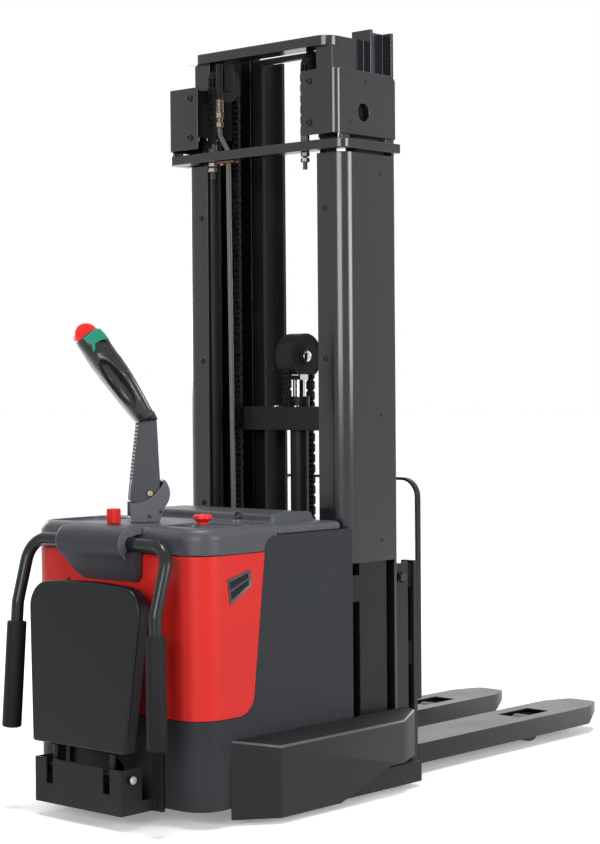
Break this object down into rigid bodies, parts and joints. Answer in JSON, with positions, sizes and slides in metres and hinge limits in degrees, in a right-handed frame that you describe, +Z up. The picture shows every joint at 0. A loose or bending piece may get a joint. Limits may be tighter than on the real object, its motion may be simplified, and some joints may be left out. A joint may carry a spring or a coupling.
{
  "type": "electric stacker",
  "caption": "Pedestrian and ride-on electric pallet stacker: nested chain-lift mast with fork carriage, steered drive wheel under a tiller, fold-down platform and side arms.",
  "frame": {"origin": "on the floor, in the middle of the truck's width and length", "axes": "+X to the truck's right, +Y towards the fork tips, +Z up"},
  "size_m": [0.85, 2.1199, 2.186],
  "materials": {
    "charcoal_paint": "fine textured powder coat",
    "black_paint": "satin black paint",
    "red_plastic": "smooth red moulding",
    "charcoal_plastic": "fine grained moulding",
    "black_plastic": "grained black moulding",
    "green_plastic": "smooth moulding",
    "black_rubber": "matt grip rubber",
    "polyurethane": "smooth polyurethane tread",
    "bright_steel": "plain steel",
    "chrome": "hard chrome",
    "chain_steel": "oiled chain steel",
    "cast_grey": "rough casting",
    "zinc": "zinc plated"
  },
  "bodies": {
    "truck": {"chassis_frame": "black_paint", "support_legs": "charcoal_paint", "outer_mast": "black_paint", "outer_top_plate": "charcoal_paint", "mast_covers": "charcoal_paint", "mast_caps": "charcoal_paint", "side_cylinders": "black_paint", "body_shell": "charcoal_plastic", "rear_panel": "red_plastic", "side_vents": "black_plastic", "top_cover": "charcoal_plastic", "battery": "black_plastic", "pump_unit": "cast_grey", "skirts": "charcoal_paint", "arm_holder": "charcoal_plastic", "platform_bracket": "black_paint", "cover_screws": "black_paint", "hydraulic_pipe": "zinc", "chain_anchors": "bright_steel", "side_chains_rear": "chain_steel", "mast_hose": "black_rubber"},
    "steer": {"drive_unit": "cast_grey", "steering_column": "charcoal_plastic"},
    "drive_wheel": {"drive_wheel": "polyurethane"},
    "tiller": {"tiller_arm": "charcoal_paint", "tiller_head": "black_plastic"},
    "belly_button": {"belly_button": "red_plastic"},
    "butterfly_switch": {"butterfly_switch": "green_plastic"},
    "castor_left": {"castor_fork_left": "bright_steel"},
    "castor_right": {"castor_fork_right": "bright_steel"},
    "castor_wheel_left": {"castor_wheel_left": "polyurethane"},
    "castor_wheel_right": {"castor_wheel_right": "polyurethane"},
    "load_wheel_left": {"load_wheel_left": "polyurethane"},
    "load_wheel_right": {"load_wheel_right": "polyurethane"},
    "mid": {"mid_mast": "black_paint", "lift_rods": "chrome", "chain_wraps": "chain_steel"},
    "chain_sheaves": {"chain_sheaves": "bright_steel"},
    "mid_rollers": {"mid_rollers": "bright_steel"},
    "inner": {"inner_mast": "black_paint", "free_cylinder": "black_paint", "side_chains_front": "chain_steel", "free_chain_rear": "chain_steel"},
    "inner_rollers": {"inner_rollers": "bright_steel"},
    "ram": {"ram_head": "chrome", "sheave_guard": "black_paint"},
    "ram_sheave": {"ram_sheave": "bright_steel"},
    "carriage": {"carriage_frame": "black_paint", "fork_left": "charcoal_paint", "fork_right": "charcoal_paint", "load_backrest": "charcoal_paint", "free_chain_front": "chain_steel"},
    "carriage_rollers": {"carriage_rollers": "bright_steel"},
    "platform": {"platform": "black_plastic"},
    "side_arm_left": {"side_arm_left": "black_paint"},
    "side_arm_right": {"side_arm_right": "black_paint"},
    "estop_button": {"estop_button": "red_plastic"},
    "switch_key": {"switch_key": "bright_steel"},
    "pull_handle": {"pull_handle": "red_plastic"},
    "battery_cover": {"battery_cover": "charcoal_plastic"}
  },
  "joints": [
    {"name": "steering", "type": "hinge", "parent": "truck", "child": "steer", "pos_m": [0, -0.78, 0], "axis": [0, 0, 1], "range_deg": [-54, 126]},
    {"name": "drive_wheel_spin", "type": "hinge", "parent": "steer", "child": "drive_wheel", "pos_m": [0, -0.78, 0.105], "axis": [0.809, -0.5878, 0], "continuous": true},
    {"name": "tiller_tilt", "type": "hinge", "parent": "steer", "child": "tiller", "pos_m": [0, -0.78, 0.869], "axis": [0.809, -0.5878, 0], "range_deg": [0, 70], "stiffness_Nm_per_rad": 20, "springref_deg": -85.94},
    {"name": "belly_press", "type": "slide", "parent": "tiller", "child": "belly_button", "axis": [0.3393, 0.467, -0.8166], "range_m": [0, 0.006], "stiffness_N_per_m": 400, "springref_m": -0.004},
    {"name": "butterfly_turn", "type": "hinge", "parent": "tiller", "child": "butterfly_switch", "pos_m": [-0.08716, -0.89997, 1.29244], "axis": [0.809, -0.5878, 0], "range_deg": [-20, 20], "stiffness_Nm_per_rad": 0.6},
    {"name": "castor_left_swivel", "type": "hinge", "parent": "truck", "child": "castor_left", "pos_m": [-0.312, -0.52, 0], "axis": [0, 0, 1], "continuous": true},
    {"name": "castor_right_swivel", "type": "hinge", "parent": "truck", "child": "castor_right", "pos_m": [0.312, -0.52, 0], "axis": [0, 0, 1], "continuous": true},
    {"name": "castor_wheel_left_spin", "type": "hinge", "parent": "castor_left", "child": "castor_wheel_left", "pos_m": [-0.312, -0.555, 0.0625], "axis": [1, 0, 0], "continuous": true},
    {"name": "castor_wheel_right_spin", "type": "hinge", "parent": "castor_right", "child": "castor_wheel_right", "pos_m": [0.312, -0.555, 0.0625], "axis": [1, 0, 0], "continuous": true},
    {"name": "load_wheel_left_spin", "type": "hinge", "parent": "truck", "child": "load_wheel_left", "pos_m": [-0.1925, 0.711, 0.042], "axis": [1, 0, 0], "continuous": true},
    {"name": "load_wheel_right_spin", "type": "hinge", "parent": "truck", "child": "load_wheel_right", "pos_m": [0.1925, 0.711, 0.042], "axis": [1, 0, 0], "continuous": true},
    {"name": "mid_lift", "type": "slide", "parent": "truck", "child": "mid", "axis": [0, 0, 1], "range_m": [0, 1.53], "deforming": ["side_chains_rear", "mast_hose"]},
    {"name": "chain_sheaves_turn", "type": "hinge", "parent": "mid", "child": "chain_sheaves", "pos_m": [0, -0.276, 2.066], "axis": [1, 0, 0], "continuous": true},
    {"name": "mid_rollers_turn", "type": "hinge", "parent": "mid", "child": "mid_rollers", "pos_m": [0, -0.194, 0.152], "axis": [1, 0, 0], "continuous": true},
    {"name": "inner_lift", "type": "slide", "parent": "mid", "child": "inner", "axis": [0, 0, 1], "range_m": [0, 1.53], "deforming": ["side_chains_front"]},
    {"name": "inner_rollers_turn", "type": "hinge", "parent": "inner", "child": "inner_rollers", "pos_m": [0, -0.12, 0.152], "axis": [1, 0, 0], "continuous": true},
    {"name": "ram_lift", "type": "slide", "parent": "inner", "child": "ram", "axis": [0, 0, 1], "range_m": [0, 0.715], "deforming": ["free_chain_rear"]},
    {"name": "ram_sheave_turn", "type": "hinge", "parent": "ram", "child": "ram_sheave", "pos_m": [0, -0.156, 1.25], "axis": [1, 0, 0], "continuous": true},
    {"name": "carriage_lift", "type": "slide", "parent": "ram", "child": "carriage", "axis": [0, 0, 1], "range_m": [0, 0.715], "deforming": ["free_chain_front"]},
    {"name": "carriage_rollers_turn", "type": "hinge", "parent": "carriage", "child": "carriage_rollers", "pos_m": [0, -0.056, 0.152], "axis": [1, 0, 0], "continuous": true},
    {"name": "platform_fold", "type": "hinge", "parent": "truck", "child": "platform", "pos_m": [0, -1.016, 0.132], "axis": [1, 0, 0], "range_deg": [0, 93.5], "stiffness_Nm_per_rad": 15, "springref_deg": -57.3},
    {"name": "side_arm_left_swing", "type": "hinge", "parent": "truck", "child": "side_arm_left", "pos_m": [0, -0.968, 0.746], "axis": [1, 0, 0], "range_deg": [-90, 0]},
    {"name": "side_arm_right_swing", "type": "hinge", "parent": "truck", "child": "side_arm_right", "pos_m": [0, -0.968, 0.746], "axis": [1, 0, 0], "range_deg": [-90, 0]},
    {"name": "estop_press", "type": "slide", "parent": "truck", "child": "estop_button", "axis": [0, 0, -1], "range_m": [0, 0.008]},
    {"name": "key_turn", "type": "hinge", "parent": "truck", "child": "switch_key", "pos_m": [0.214, -0.646, 0.79], "axis": [0, 0, 1], "range_deg": [0, 90]},
    {"name": "pull_handle_lift", "type": "slide", "parent": "truck", "child": "pull_handle", "axis": [0, 0, 1], "range_m": [0, 0.01]},
    {"name": "battery_cover_lift", "type": "hinge", "parent": "truck", "child": "battery_cover", "pos_m": [0, -0.362, 0.775], "axis": [1, 0, 0], "range_deg": [-70, 0]}
  ],
  "couplings": [
    {"joint": "inner_lift", "follows": "mid_lift", "ratio": 1},
    {"joint": "chain_sheaves_turn", "follows": "mid_lift", "rad_per_m": 19.608},
    {"joint": "carriage_lift", "follows": "ram_lift", "ratio": 1},
    {"joint": "ram_sheave_turn", "follows": "ram_lift", "rad_per_m": 19.231}
  ]
}
